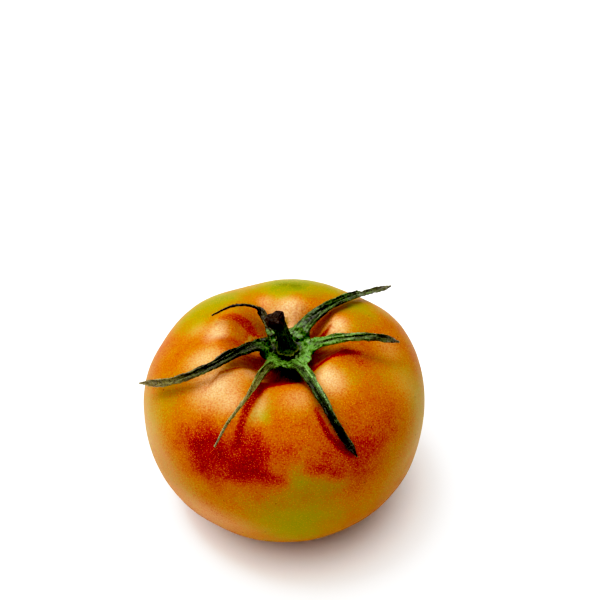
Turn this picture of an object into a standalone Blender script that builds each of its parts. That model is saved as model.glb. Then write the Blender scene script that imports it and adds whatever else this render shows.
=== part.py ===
"""A salad tomato, picked with its calyx and a stub of stem, standing on its blossom end.

Units are metres, +Z is up and the origin is the middle of the small flat spot that the fruit rests on.
An azimuth is measured round the fruit from +X towards +Y. The angle called down is measured at the
fruit's middle, from straight up (0) over the shoulder and the equator (90) to the blossom end (180).
"""

import math

import bmesh
import bpy
import numpy as np
from mathutils import Vector

MM = 0.001

# Fruit
FRUIT_RADIUS = 34.3 * MM
EQUATOR_HEIGHT = 30.8 * MM
CROWN_HEIGHT = 24.2 * MM
BASE_DEPTH = 31.05 * MM
ROUNDNESS = 2.5
LEAN_HEIGHT = 50 * MM
LEAN_X = 0.7 * MM
LEAN_Y = -2.2 * MM
FRUIT_SIDES = 64
FRUIT_RINGS = 36
RING_CROWDING = 0.3

# Shoulder lobes: azimuth in degrees, how far each stands out, and where it meets the hollow
LOBES = (
    (30, 0.8 * MM, 12.5 * MM),
    (87, 0.0 * MM, 12.0 * MM),
    (142, 0.7 * MM, 16.0 * MM),
    (184, 1.3 * MM, 14.5 * MM),
    (222, 0.2 * MM, 13.0 * MM),
    (271, 0.0 * MM, 13.5 * MM),
    (327, 0.0 * MM, 10.5 * MM),
)
LOBE_SPREAD = 30
LOBE_RISE = (0, 30)
LOBE_FADE = (120, 175)
LIP_RADIUS = 12.5 * MM

# Furrows between the lobes: azimuth in degrees, share of the full depth, and half width in degrees
FURROWS = (
    (2, 0.9, 17),
    (56, 1.1, 17),
    (115, 1.3, 18),
    (164, 1.2, 15),
    (203, 0.3, 12),
    (243, 0.8, 17),
    (298, 0.9, 17),
)
FURROW_DEPTH = 1.3 * MM
FURROW_RISE = (0, 22)
FURROW_SHALLOWING = (30, 90)
FURROW_LEFT_AT_EQUATOR = 0.2
FURROW_FADE = (100, 160)
FURROW_LIP = 1.4 * MM

# Hollow that the calyx sits in
HOLLOW_DEPTH = 6.6 * MM
HOLLOW_FLOOR_RADIUS = 5.8 * MM
HOLLOW_ROUNDING = 2.0 * MM

# Calyx
GAP = 0.3 * MM
CALYX_RADIUS = 6.6 * MM
CALYX_HALF_THICKNESS = 1.0 * MM
CALYX_DISH = 1.7 * MM
CALYX_SEAT_SHARE = 0.4
CALYX_ROUNDNESS = 0.8
CALYX_PUCKER = 0.35 * MM
CALYX_PUCKERS = 9
CALYX_SIDES = 36
CALYX_RINGS = 10
SEPAL_THICKNESS = 0.7 * MM
SEPAL_ROWS = 20
SEPAL_COLUMNS = 4
SEPAL_POINT_WIDTH = 0.6 * MM
PATH_STEPS = 12
CALYX_SHARP_ANGLE = 50

# Sepals. Each station of a path is an angle down, an azimuth and a clearance over the fruit in mm.
# Widths in mm are at the root, at the waist, half way and near the tip. Fold and twist are in degrees.
SEPALS = {
    "far_right": {
        "path": (
            (11, 60, -3.7), (17, 56, -1.0), (27, 47, 1.3),
            (43, 46, 1.4), (60, 47, 2.2), (71, 47, 7.0),
        ),
        "widths": (4.8, 3.9, 3.0, 1.7),
        "fold": 46,
        "twist": (0, 12),
    },
    "right": {
        "path": (
            (11, 0, -3.7), (17, 0, -1.4), (24, -6, 1.8),
            (31, -8, 5.2), (39, -5, 6.7), (50, 1, 4.8),
        ),
        "widths": (5.0, 3.9, 2.6, 1.3),
        "fold": 34,
        "twist": (0, -10),
    },
    "near_right": {
        "path": (
            (11, 292, -3.7), (17, 291, -1.6), (25, 292, 0.9),
            (40, 294, 2.5), (55, 296.5, 2.0), (68, 301, 0.9),
        ),
        "widths": (4.8, 3.4, 2.9, 1.7),
        "fold": 42,
        "twist": (0, -8),
    },
    "near_left": {
        "path": (
            (11, 240, -3.7), (17, 239, -1.9), (26, 241, 0.9),
            (40, 245, 5.6), (51, 242, 6.4), (64, 237.5, 1.2),
        ),
        "widths": (4.2, 2.0, 1.1, 0.8),
        "fold": 30,
        "twist": (0, 50),
    },
    "left": {
        "path": (
            (11, 190, -3.7), (17, 191, -1.8), (25, 205, 1.0),
            (40, 209.5, 3.6), (55, 201, 3.3), (67.5, 190, 4.0),
        ),
        "widths": (5.0, 3.8, 2.6, 1.4),
        "fold": 44,
        "twist": (0, 10),
    },
    "far_left": {
        "path": (
            (11, 128, -3.7), (17, 126, -1.8), (27, 124, 0.9),
            (26, 138, 3.3), (31, 149, 3.9), (39, 158, 3.2),
        ),
        "widths": (4.2, 2.2, 1.0, 0.7),
        "fold": 30,
        "twist": (0, 60),
    },
}
WIDTH_STATIONS = (0.0, 0.2, 0.5, 0.9)
FOLD_START = 0.05
FOLD_FULL = 0.35
FLAT_WIDTH = 1.2 * MM
FOLDED_WIDTH = 2.6 * MM

# Stem. The profile gives each height's share of the rise and its radius as a share of the stem's.
STEM_RADIUS = 1.7 * MM
STEM_RISE = 11.0 * MM
STEM_LEAN = Vector((-3.2 * MM, 0.5 * MM, 0))
STEM_BEND = 0.6
STEM_PROFILE = (
    (0.00, 1.50),
    (0.06, 1.50),
    (0.15, 1.20),
    (0.26, 1.02),
    (0.40, 0.95),
    (0.54, 0.96),
    (0.68, 1.02),
    (0.79, 1.12),
    (0.88, 1.22),
    (0.95, 1.15),
    (1.00, 0.92),
)
STEM_RIBS = 5
STEM_RIB_DEPTH = 0.12 * MM
KNUCKLE = (0.75, 0.9)
KNUCKLE_BUMPS = 3
KNUCKLE_TWIST = 6
KNUCKLE_BUMP_DEPTH = 0.25 * MM
BREAK_SLANT = 0.8 * MM
STEM_SHARP_ANGLE = 45
STEM_QUARTER_STEPS = 3
WELD = 0.01 * MM

FRUIT_MIDDLE = Vector((0, 0, EQUATOR_HEIGHT))
HOLLOW_FLOOR = EQUATOR_HEIGHT + CROWN_HEIGHT - HOLLOW_DEPTH


def eased(start, end, value):
    """0 up to start, 1 from end on, and a smooth rise between them."""
    share = np.clip((value - start) / (end - start), 0, 1)
    return share * share * (3 - 2 * share)


def nearness(azimuth, place, spread):
    """1 at an azimuth, fading to nothing over spread degrees on both sides."""
    apart = (azimuth - place + 180) % 360 - 180
    return math.exp(-((apart / spread) ** 2))


def leaned(x, y, z):
    """The fruit leans a little, so each height is shifted sideways in proportion."""
    share = z / LEAN_HEIGHT
    return Vector((x + LEAN_X * share, y + LEAN_Y * share, z))


def furrow_share(azimuth):
    return sum(depth * nearness(azimuth, place, spread) for place, depth, spread in FURROWS)


def dome_radius(azimuth, down):
    """Distance from the fruit's middle to its skin, with lobes and furrows and without the hollow."""
    sine = abs(math.sin(math.radians(down)))
    cosine = math.cos(math.radians(down))
    height = CROWN_HEIGHT if cosine >= 0 else BASE_DEPTH
    rounded = (sine / FRUIT_RADIUS) ** ROUNDNESS + (abs(cosine) / height) ** ROUNDNESS
    radius = rounded ** (-1 / ROUNDNESS)
    shallower = 1 - (1 - FURROW_LEFT_AT_EQUATOR) * eased(*FURROW_SHALLOWING, down)
    furrow_reach = eased(*FURROW_RISE, down) * shallower * (1 - eased(*FURROW_FADE, down))
    lobe_reach = eased(*LOBE_RISE, down) * (1 - eased(*LOBE_FADE, down))
    fullness = sum(out * nearness(azimuth, place, LOBE_SPREAD) for place, out, _ in LOBES)
    return radius - FURROW_DEPTH * furrow_share(azimuth) * furrow_reach + fullness * lobe_reach


def lip_radius(azimuth):
    """Plan radius where the hollow's wall reaches the shoulder."""
    own = sum((lip - LIP_RADIUS) * nearness(azimuth, place, LOBE_SPREAD) for place, _, lip in LOBES)
    return LIP_RADIUS + own + FURROW_LIP * furrow_share(azimuth)


def fruit_point(azimuth, down):
    """A point of the fruit's skin."""
    radius = dome_radius(azimuth, down)
    out = radius * math.sin(math.radians(down))
    z = EQUATOR_HEIGHT + radius * math.cos(math.radians(down))
    if down < 90:
        z -= HOLLOW_DEPTH * (1 - eased(HOLLOW_FLOOR_RADIUS, lip_radius(azimuth) + HOLLOW_ROUNDING, out))
    z = max(z, 0)
    return leaned(out * math.cos(math.radians(azimuth)), out * math.sin(math.radians(azimuth)), z)


def point_over_fruit(down, azimuth, clearance):
    """A point at a clearance in mm outside the dome, measured away from the fruit's middle."""
    radius = dome_radius(azimuth, down) + clearance * MM
    out = radius * math.sin(math.radians(down))
    z = EQUATOR_HEIGHT + radius * math.cos(math.radians(down))
    return leaned(out * math.cos(math.radians(azimuth)), out * math.sin(math.radians(azimuth)), z)


def new_object(name, mesh, collection, location):
    made = bpy.data.objects.new(name, mesh)
    made.location = location
    collection.objects.link(made)
    return made


def new_material(name, colour, roughness):
    material = bpy.data.materials.new(name)
    material.use_nodes = True
    shader = material.node_tree.nodes["Principled BSDF"]
    shader.inputs["Base Color"].default_value = (*colour, 1)
    shader.inputs["Roughness"].default_value = roughness
    shader.inputs["Metallic"].default_value = 0
    return material


def angles_of(point):
    """Azimuth and angle down of a point on a unit sphere, in degrees."""
    azimuth = math.degrees(math.atan2(point.y, point.x)) % 360
    return azimuth, math.degrees(math.acos(max(-1, min(1, point.z))))


def build_fruit(collection):
    shape = bmesh.new()
    bmesh.ops.create_uvsphere(shape, u_segments=FRUIT_SIDES, v_segments=FRUIT_RINGS, radius=1)
    for vertex in shape.verts:
        azimuth, down = angles_of(vertex.co)
        share = down / 180
        crowded = 180 * ((1 - RING_CROWDING) * share + RING_CROWDING * share * share)
        vertex.co = fruit_point(azimuth, crowded) - FRUIT_MIDDLE
    mesh = bpy.data.meshes.new("fruit")
    shape.to_mesh(mesh)
    shape.free()
    mesh.shade_smooth()
    fruit = new_object("fruit", mesh, collection, FRUIT_MIDDLE)
    mesh.materials.append(new_material("tomato_skin", (0.62, 0.16, 0.02), 0.3))
    return fruit


def smooth_path(stations, count):
    """Evenly spaced points on a smooth curve through the stations."""
    ends = [stations[0] * 2 - stations[1], *stations, stations[-1] * 2 - stations[-2]]
    dense = []
    for before, start, end, after in zip(ends, ends[1:], ends[2:], ends[3:]):
        for share in np.linspace(0, 1, PATH_STEPS, endpoint=False):
            leaving = (end - before) * (0.5 * share * (1 - share) ** 2)
            arriving = (after - start) * (0.5 * share * share * (share - 1))
            dense.append(start.lerp(end, eased(0, 1, share)) + leaving + arriving)
    dense.append(stations[-1].copy())
    lengths = np.cumsum([0] + [(b - a).length for a, b in zip(dense, dense[1:])])
    wanted = np.linspace(0, lengths[-1], count)
    axes = [np.interp(wanted, lengths, [point[axis] for point in dense]) for axis in range(3)]
    return [Vector(point) for point in zip(*axes)]


def half_width(widths, share):
    """Half the blade's width in metres, drawn in to a point past the last station."""
    width = np.interp(share, WIDTH_STATIONS + (1.0,), tuple(w * MM for w in widths) + (SEPAL_POINT_WIDTH,))
    return width / 2


def build_sepal(name, sepal, collection, location):
    """A narrow leaf, folded along its middle, as an open sheet with thickness added."""
    stations = [point_over_fruit(*station) for station in sepal["path"]]
    rows = smooth_path(stations, SEPAL_ROWS + 1)
    shape = bmesh.new()
    bmesh.ops.create_grid(shape, x_segments=SEPAL_ROWS, y_segments=SEPAL_COLUMNS, size=1)
    for vertex in shape.verts:
        row = round((vertex.co.x + 1) / 2 * SEPAL_ROWS)
        across = vertex.co.y
        share = row / SEPAL_ROWS
        centre = rows[row]
        along = (rows[min(row + 1, SEPAL_ROWS)] - rows[max(row - 1, 0)]).normalized()
        outward = centre - FRUIT_MIDDLE
        outward = (outward - along * outward.dot(along)).normalized()
        sideways = along.cross(outward)
        turn = math.radians(np.interp(share, (0, 1), sepal["twist"]))
        blade_side = sideways * math.cos(turn) + outward * math.sin(turn)
        blade_up = outward * math.cos(turn) - sideways * math.sin(turn)
        reach = half_width(sepal["widths"], share)
        folded = eased(FOLD_START, FOLD_FULL, share) * eased(FLAT_WIDTH / 2, FOLDED_WIDTH / 2, reach)
        fold = math.radians(sepal["fold"]) * folded
        raised = abs(across) * reach * math.sin(fold)
        vertex.co = centre + blade_side * (across * reach * math.cos(fold)) + blade_up * raised - location
    bmesh.ops.recalc_face_normals(shape, faces=shape.faces)
    mesh = bpy.data.meshes.new(name)
    shape.to_mesh(mesh)
    shape.free()
    blade = new_object(name, mesh, collection, location)
    thickness = blade.modifiers.new("thickness", "SOLIDIFY")
    thickness.thickness = SEPAL_THICKNESS
    thickness.offset = 0
    return blade


def build_receptacle(collection, location):
    """The puckered green disc that the sepals grow from."""
    shape = bmesh.new()
    bmesh.ops.create_uvsphere(shape, u_segments=CALYX_SIDES, v_segments=CALYX_RINGS, radius=1)
    for vertex in shape.verts:
        azimuth, down = angles_of(vertex.co)
        out = math.sin(math.radians(down)) ** CALYX_ROUNDNESS
        turn = math.radians(azimuth)
        radius = (CALYX_RADIUS + CALYX_PUCKER * math.cos(CALYX_PUCKERS * turn) * out) * out
        z = CALYX_HALF_THICKNESS * math.cos(math.radians(down)) + CALYX_DISH * eased(CALYX_SEAT_SHARE, 1, out)
        vertex.co = Vector((radius * math.cos(turn), radius * math.sin(turn), z))
    mesh = bpy.data.meshes.new("calyx")
    shape.to_mesh(mesh)
    shape.free()
    return new_object("calyx", mesh, collection, location)


def applied(target):
    """Replaces an object's mesh with what its modifiers make of it."""
    graph = bpy.context.evaluated_depsgraph_get()
    old = target.data
    target.data = bpy.data.meshes.new_from_object(target.evaluated_get(graph))
    target.modifiers.clear()
    name = old.name
    bpy.data.meshes.remove(old)
    target.data.name = name


def build_calyx(collection):
    centre = leaned(0, 0, HOLLOW_FLOOR + GAP + CALYX_HALF_THICKNESS)
    calyx = build_receptacle(collection, centre)
    blades = bpy.data.collections.new("sepals")
    bpy.context.scene.collection.children.link(blades)
    for name, sepal in SEPALS.items():
        build_sepal(name, sepal, blades, centre)
    union = calyx.modifiers.new("union", "BOOLEAN")
    union.operation = "UNION"
    union.operand_type = "COLLECTION"
    union.collection = blades
    union.solver = "EXACT"
    applied(calyx)
    for blade in list(blades.objects):
        bpy.data.objects.remove(blade, do_unlink=True)
    bpy.data.collections.remove(blades)
    calyx.data.shade_smooth()
    calyx.data.set_sharp_from_angle(angle=math.radians(CALYX_SHARP_ANGLE))
    calyx.data.materials.append(new_material("sepal_green", (0.09, 0.16, 0.05), 0.6))
    return calyx


def stem_middle(share):
    """The middle of the stem at a share of its rise, leaning more towards the top."""
    lean = (1 - STEM_BEND) * share + STEM_BEND * share * share
    return STEM_LEAN * lean + Vector((0, 0, STEM_RISE * share))


def build_stem(collection):
    """A ribbed stub, flared at its foot, ending in a knobbly break."""
    foot = leaned(0, 0, HOLLOW_FLOOR + GAP + 2 * CALYX_HALF_THICKNESS + GAP)
    route = bpy.data.curves.new("stem_route", "CURVE")
    route.dimensions = "3D"
    route.bevel_depth = STEM_RADIUS
    route.bevel_resolution = STEM_QUARTER_STEPS
    route.use_fill_caps = True
    spline = route.splines.new("POLY")
    spline.points.add(len(STEM_PROFILE) - 1)
    for point, (share, swell) in zip(spline.points, STEM_PROFILE):
        point.co = (*stem_middle(share), 1)
        point.radius = swell
    guide = new_object("stem_route", route, collection, foot)
    graph = bpy.context.evaluated_depsgraph_get()
    mesh = bpy.data.meshes.new_from_object(guide.evaluated_get(graph))
    bpy.data.objects.remove(guide, do_unlink=True)
    bpy.data.curves.remove(route)
    shape = bmesh.new()
    shape.from_mesh(mesh)
    bmesh.ops.remove_doubles(shape, verts=shape.verts, dist=WELD)
    for vertex in shape.verts:
        share = max(0, min(1, vertex.co.z / STEM_RISE))
        out = vertex.co - stem_middle(share)
        out.z = 0
        around = math.atan2(out.y, out.x)
        rib = STEM_RIB_DEPTH * math.cos(STEM_RIBS * around)
        bump = KNUCKLE_BUMP_DEPTH * math.sin(KNUCKLE_BUMPS * around + KNUCKLE_TWIST * share)
        slant = BREAK_SLANT * math.cos(around) * out.length / STEM_RADIUS
        knuckle = eased(*KNUCKLE, share)
        vertex.co += out.normalized() * (rib + bump * knuckle)
        vertex.co.z += slant * knuckle
    shape.to_mesh(mesh)
    shape.free()
    mesh.name = "stem"
    mesh.shade_smooth()
    mesh.set_sharp_from_angle(angle=math.radians(STEM_SHARP_ANGLE))
    stem = new_object("stem", mesh, collection, foot)
    mesh.materials.append(new_material("stem_bark", (0.03, 0.03, 0.012), 0.7))
    return stem


def main():
    for old in list(bpy.data.objects):
        bpy.data.objects.remove(old, do_unlink=True)
    collection = bpy.data.collections.new("salad_tomato")
    bpy.context.scene.collection.children.link(collection)
    resting_spot = bpy.data.objects.new("resting_spot", None)
    collection.objects.link(resting_spot)
    for piece in (build_fruit(collection), build_calyx(collection), build_stem(collection)):
        piece.parent = resting_spot


main()
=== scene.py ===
"""Looks of a salad tomato, half ripe, picked with its calyx and a stub of stem.

Lengths are metres and +Z is up. An azimuth is measured round the fruit from +X towards +Y. The angle
called down is measured at the fruit's middle, from straight up (0) over the equator (90) to the blossom
end (180). The fruit, calyx and stem follow the same measures as the solids they stand for.
"""

import math
import random

import bmesh
import bpy
import numpy as np
from mathutils import Matrix, Vector, kdtree, noise


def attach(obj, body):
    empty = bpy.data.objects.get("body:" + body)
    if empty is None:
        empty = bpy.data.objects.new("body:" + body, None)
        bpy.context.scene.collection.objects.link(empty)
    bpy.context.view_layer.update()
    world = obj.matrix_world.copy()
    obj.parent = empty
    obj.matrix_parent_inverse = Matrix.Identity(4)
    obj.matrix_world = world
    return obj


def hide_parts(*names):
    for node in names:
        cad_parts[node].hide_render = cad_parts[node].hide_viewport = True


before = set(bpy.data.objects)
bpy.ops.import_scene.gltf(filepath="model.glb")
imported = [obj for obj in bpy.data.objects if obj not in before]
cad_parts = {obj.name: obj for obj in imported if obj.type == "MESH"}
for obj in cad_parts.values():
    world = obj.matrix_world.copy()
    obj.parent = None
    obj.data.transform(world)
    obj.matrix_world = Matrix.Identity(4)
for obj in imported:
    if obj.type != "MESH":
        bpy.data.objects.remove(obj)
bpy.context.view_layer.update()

MM = 0.001

# Fruit
FRUIT_RADIUS = 34.3 * MM
EQUATOR_HEIGHT = 30.8 * MM
CROWN_HEIGHT = 24.2 * MM
BASE_DEPTH = 31.05 * MM
ROUNDNESS = 2.5
LEAN_HEIGHT = 50 * MM
LEAN_X = 0.7 * MM
LEAN_Y = -2.2 * MM
SKIN_SIDES = 340
SKIN_RINGS = 240
BALL_WELD = 1e-6

# Shoulder lobes: azimuth in degrees, how far each stands out, and where it meets the hollow
LOBES = (
    (30, 0.8 * MM, 12.5 * MM),
    (87, 0.0 * MM, 12.0 * MM),
    (142, 0.7 * MM, 16.0 * MM),
    (184, 1.3 * MM, 14.5 * MM),
    (222, 0.2 * MM, 13.0 * MM),
    (271, 0.0 * MM, 13.5 * MM),
    (327, 0.0 * MM, 10.5 * MM),
)
LOBE_SPREAD = 30
LOBE_RISE = (0, 30)
LOBE_FADE = (120, 175)
LIP_RADIUS = 12.5 * MM

# Furrows between the lobes: azimuth in degrees, share of the full depth, and half width in degrees
FURROWS = (
    (2, 0.9, 17),
    (56, 1.1, 17),
    (115, 1.3, 18),
    (164, 1.2, 15),
    (203, 0.3, 12),
    (243, 0.8, 17),
    (298, 0.9, 17),
)
FURROW_DEPTH = 1.3 * MM
FURROW_RISE = (0, 22)
FURROW_SHALLOWING = (30, 90)
FURROW_LEFT_AT_EQUATOR = 0.2
FURROW_FADE = (100, 160)
FURROW_LIP = 1.4 * MM

# Hollow that the calyx sits in
HOLLOW_DEPTH = 6.6 * MM
HOLLOW_FLOOR_RADIUS = 5.8 * MM
HOLLOW_ROUNDING = 2.0 * MM

# Skin relief that is finer than the solids: slow dents, faint creases running out of the hollow,
# the cracked corky ring in the hollow and the blossom scar in the middle of the resting spot
DENT_SIZE = 11 * MM
DENT_DEPTH = 0.22 * MM
RIPPLE_SIZE = 3.2 * MM
RIPPLE_DEPTH = 0.035 * MM
CREASE_COUNT = 26
CREASE_DEPTH = 0.10 * MM
CREASE_REACH = (10 * MM, 19 * MM)
CREASE_SHARPNESS = 6
CREASE_WANDER = 2.5
CORK_RING = (5.5 * MM, 7.0 * MM, 10.0 * MM, 13.0 * MM)
CORK_PATCHES = ((100, 24), (158, 24), (20, 12))
# Painted shade deep in the hollow: where it fades, as shares of the lip's radius, and the azimuth and
# spread of the front side that it keeps to
HOLLOW_PAINTED_SHADE = (0.60, 0.88)
HOLLOW_PAINTED_SHADE_SIDE = (277, 32)
CORK_CRACK_SIZE = 1.1 * MM
CORK_CRACK_DEPTH = 0.22 * MM
SCAR_RADIUS = 2.2 * MM
SCAR_DEPTH = 0.45 * MM

# Seeds that keep the noises apart
PATCH_SEED = 2
KNOB_SEED = 3
RIPPLE_SEED = 4
GRAIN_SEED = 5
CRACK_SEED = 6
STEM_GRAIN_SEED = 7
CREASE_SEED = 9
WANDER_SEEDS = (12, 13)

# Ripeness over the skin, from 0 green to 1 deep red. Each blush has its azimuth, its angle down, how far
# it spreads along both in degrees, and how much it adds.
RIPENESS = 0.56
BLUSHES = (
    # green and olive parts of the far shoulders, and where they turn orange to the left and right
    (88, 50, 22, 10, -0.46),
    (98, 47, 10, 6, -0.25),
    (84, 45, 9, 6, -0.25),
    (40, 47, 7, 4, -0.14),
    (90, 75, 30, 18, -0.22),
    (62, 53, 12, 8, -0.14),
    (130, 50, 13, 9, -0.44),
    (153, 57, 11, 9, -0.28),
    (170, 66, 12, 12, 0.08),
    (36, 47, 9, 7, -0.26),
    (38, 60, 14, 9, -0.06),
    (10, 58, 12, 12, 0.06),
    # the furrows and lobes just above them
    (112, 40, 8, 7, 0.12),
    (58, 40, 8, 6, -0.04),
    (15, 34, 8, 6, -0.12),
    # yellow left and right flanks
    (202, 68, 9, 12, -0.17),
    (197, 86, 14, 16, -0.18),
    (190, 48, 10, 8, -0.03),
    (350, 66, 14, 14, -0.14),
    (345, 86, 20, 16, -0.18),
    # red blotches, front left and front right
    (232, 65, 10, 9, 0.38),
    (250, 58, 8, 7, 0.22),
    (255, 68, 13, 7, 0.37),
    (266, 57, 7, 5, 0.12),
    (250, 80, 14, 6, 0.06),
    (240, 74, 16, 7, 0.12),
    (222, 73, 10, 10, 0.10),
    (308, 66, 13, 9, 0.20),
    (328, 62, 10, 12, 0.12),
    (286, 69, 7, 6, 0.18),
    (300, 80, 10, 10, 0.08),
    (285, 55, 16, 10, 0.08),
    (314, 47, 11, 6, 0.14),
    (263, 75, 8, 6, 0.16),
    # green streak and patch low on the front
    (273, 71, 6, 8, -0.38),
    (274, 99, 17, 16, -0.35),
    (284, 80, 9, 6, -0.14),
    (262, 86, 12, 9, -0.08),
    (232, 96, 14, 12, -0.06),
    (310, 96, 12, 12, -0.10),
    # yellow tops of the lobes round the calyx
    (255, 45, 7, 6, -0.38),
    (316, 24, 9, 6, -0.14),
    (332, 36, 7, 6, -0.10),
    (22, 42, 8, 7, -0.14),
    (150, 48, 14, 8, -0.14),
    (205, 42, 18, 10, -0.06),
    # red in the furrows by the hollow; the red at 220, 25 and at 345, 38 is painted shade of the left and
    # right sepals
    (168, 32, 9, 6, 0.20),
    (178, 36, 8, 8, 0.12),
    (190, 28, 12, 6, 0.10),
    (220, 25, 12, 5, 0.06),
    (345, 38, 9, 6, 0.12),
    # far side and underside
    (60, 100, 32, 22, 0.10),
    (120, 108, 30, 20, -0.12),
    (0, 114, 36, 18, -0.08),
    (330, 132, 50, 18, 0.06),
    (200, 132, 50, 18, 0.08),
)
# Painted highlights: pale patches on the tops of the lobes, where the light overhead shines back, with the
# same measures as the blushes
PAINTED_HIGHLIGHTS = (
    (93, 27, 23, 7, 1.05),
    (110, 38, 7, 5, 0.40),
    (163, 48, 7, 5, 0.30),
    (83, 19, 14, 4, 0.8),
    (166, 38, 12, 4.5, 1.0),
    (194, 42, 8, 8, 0.7),
    (217, 44, 13, 10, 1.0),
    (233, 46, 6, 5, 0.50),
    (251, 43, 5, 7, 0.55),
    (280, 38, 13, 6, 0.4),
    (311, 32, 12, 9, 1.05),
    (24, 28, 14, 6, 1.0),
    (5, 52, 10, 7, 0.35),
    (345, 60, 10, 9, 0.2),
    (229, 27, 13, 5, 0.75),
    (200, 28, 12, 5, 0.2),
    # and thin painted reflections of the pale floor on the flanks
    (198, 86, 20, 20, 0.24),
    (238, 105, 22, 9, 0.34),
    (342, 86, 22, 24, 0.18),
)
PATCH_SIZE = 16 * MM
PATCH_STRENGTH = 0.08
# The blushes' outlines wander by a few degrees
WANDER_SIZE = 5 * MM
WANDER_DEGREES = 6

# Painted shade: where each sepal's shadow falls, the skin is painted a deeper red. Each belt is a line of
# stations, and each station is an azimuth, an angle down, half the belt's width in mm and how strongly it
# shows.
SHADE_BELTS = (
    # under the near left sepal
    (
        (276, 23, 1.8, 1.0), (260, 26, 2.1, 1.0), (247, 30, 2.2, 1.0),
        (244, 38, 1.9, 1.0), (244, 46, 1.4, 1.0), (245, 54, 1.0, 0.65), (246, 61, 1.2, 0.3),
    ),
    # under the right sepal
    (
        (318, 18, 1.7, 1.0), (324, 20, 1.5, 1.0), (337, 25, 1.4, 1.0),
        (349, 32, 1.1, 0.9), (352, 38, 0.9, 0.4),
    ),
    # along the near right sepal
    (
        (289, 44, 0.7, 0.3), (290, 50, 0.8, 0.8), (292, 57, 0.8, 1.0),
        (296, 63, 0.8, 1.0), (299, 67, 0.6, 0.6),
    ),
    # beside the far right sepal
    ((20, 18, 1.4, 1.0), (27, 21, 1.1, 1.0), (30, 26, 0.7, 0.6)),
    # under the far left sepal
    (
        (152, 40, 0.7, 0.5), (145, 34, 1.3, 0.6), (141, 28, 1.9, 0.55),
        (144, 23, 2.0, 0.35), (156, 24, 1.8, 0.15),
    ),
    # under the left sepal
    ((217, 24, 0.7, 0.2), (216, 32, 0.6, 0.5), (211, 39, 0.5, 0.6)),
    # a faint red line down the left lobe, drawn on from the left sepal's painted shade
    ((211, 39, 0.5, 0.6), (214, 45, 0.4, 0.4), (215, 51, 0.4, 0.2)),
)
PAINTED_SHADE_REDDENING = 0.42
# A belt is full out to its core and gone at its edge, as shares of half its width
SHADE_CORE = 0.45
SHADE_EDGE = 1.35
SHADE_STEPS = 9
# All belts lie above this angle down
SHADED_DOWN = 75

# Calyx
GAP = 0.3 * MM
CALYX_RADIUS = 6.6 * MM
CALYX_HALF_THICKNESS = 1.0 * MM
CALYX_DISH = 1.7 * MM
CALYX_SEAT_SHARE = 0.4
CALYX_ROUNDNESS = 0.8
CALYX_PUCKER = 0.35 * MM
CALYX_PUCKERS = 9
CALYX_SIDES = 90
CALYX_RINGS = 40
SEPAL_THICKNESS = 0.7 * MM
SEPAL_ROWS = 110
SEPAL_COLUMNS = 12
SEPAL_POINT_WIDTH = 0.6 * MM
PATH_STEPS = 40

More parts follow.
